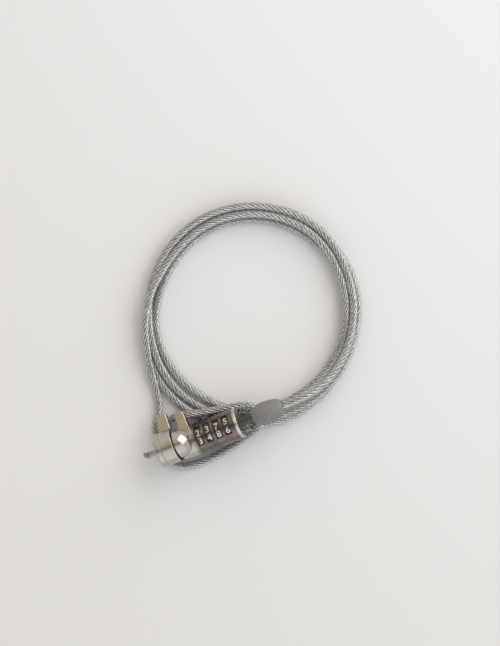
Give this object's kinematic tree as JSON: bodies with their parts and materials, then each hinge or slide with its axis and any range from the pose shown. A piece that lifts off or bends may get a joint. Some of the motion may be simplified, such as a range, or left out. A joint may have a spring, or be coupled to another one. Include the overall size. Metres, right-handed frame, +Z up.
{
  "type": "laptop cable lock",
  "caption": "Combination lock head with a turning T-bar for a security slot, number dials in a domed metal case, and a coiled steel cable ending in a crimped eye.",
  "frame": {"origin": "on the ground under the middle of the lock head and its turning neck, without the cable", "axes": "+Z up, +X along the lock from its T-bar to its tail as seen from above; the lock's own axis rises 11.5 degrees towards the tail, and its dial windows lean 11.5 degrees to +Y"},
  "size_m": [0.1365, 0.1235, 0.0249],
  "materials": {
    "nickel": "polished nickel plate",
    "steel": "machined",
    "spring_steel": "drawn wire",
    "brass_inner": "turned",
    "dial_black": "satin black with bright numbers",
    "crimp": "pressed",
    "sleeve_grey": "moulded matt",
    "cable_sheath": "clear sheath over twisted steel rope"
  },
  "bodies": {
    "lock_case": {"housing": "nickel", "front_collar": "nickel", "ring_washer": "steel", "hub_pin": "steel", "spring_seat": "steel", "dial_spacers": "brass_inner", "detent_spring": "spring_steel", "rear_plug": "brass_inner", "rear_cap": "nickel", "cap_pins": "steel", "bolt_spring": "spring_steel", "cable_lead": "cable_sheath", "cable_coil": "cable_sheath", "cable_tail": "cable_sheath", "cable_eye": "cable_sheath", "eye_ferrule": "crimp"},
    "knob": {"turn_ring": "nickel", "tbar_spindle": "steel", "drive_pin": "steel", "spindle_clip": "steel"},
    "bolt": {"lock_bolt": "steel"},
    "swivel": {"cable_anchor": "steel", "tail_ferrule": "crimp", "cable_sleeve": "sleeve_grey"},
    "dial_1_body": {"dial_1": "dial_black", "code_ring_1": "brass_inner"},
    "dial_2_body": {"dial_2": "dial_black", "code_ring_2": "brass_inner"},
    "dial_3_body": {"dial_3": "dial_black", "code_ring_3": "brass_inner"},
    "dial_4_body": {"dial_4": "dial_black", "code_ring_4": "brass_inner"}
  },
  "joints": [
    {"name": "knob_turn", "type": "hinge", "parent": "lock_case", "child": "knob", "pos_m": [-0.01846, -0.00361, 0.01535], "axis": [0.9799, 0, 0.1994], "range_deg": [0, 90]},
    {"name": "bolt_slide", "type": "slide", "parent": "lock_case", "child": "bolt", "axis": [0.9799, 0, 0.1994], "range_m": [-0.0012, 0], "deforming": ["bolt_spring"]},
    {"name": "dial_1_spin", "type": "hinge", "parent": "lock_case", "child": "dial_1_body", "pos_m": [-0.00155, -0.00517, 0.01099], "axis": [0.9799, 0, 0.1994], "continuous": true},
    {"name": "dial_2_spin", "type": "hinge", "parent": "lock_case", "child": "dial_2_body", "pos_m": [0.00355, -0.00517, 0.01202], "axis": [0.9799, 0, 0.1994], "continuous": true},
    {"name": "dial_3_spin", "type": "hinge", "parent": "lock_case", "child": "dial_3_body", "pos_m": [0.00864, -0.00517, 0.01306], "axis": [0.9799, 0, 0.1994], "continuous": true},
    {"name": "dial_4_spin", "type": "hinge", "parent": "lock_case", "child": "dial_4_body", "pos_m": [0.01374, -0.00517, 0.0141], "axis": [0.9799, 0, 0.1994], "continuous": true},
    {"name": "cable_swivel", "type": "hinge", "parent": "lock_case", "child": "swivel", "pos_m": [0.02607, -0.00525, 0.01621], "axis": [0.9799, 0, 0.1994], "continuous": true}
  ],
  "couplings": [
    {"joint": "bolt_slide", "follows": "knob_turn", "m_per_rad": -0.00076394}
  ]
}
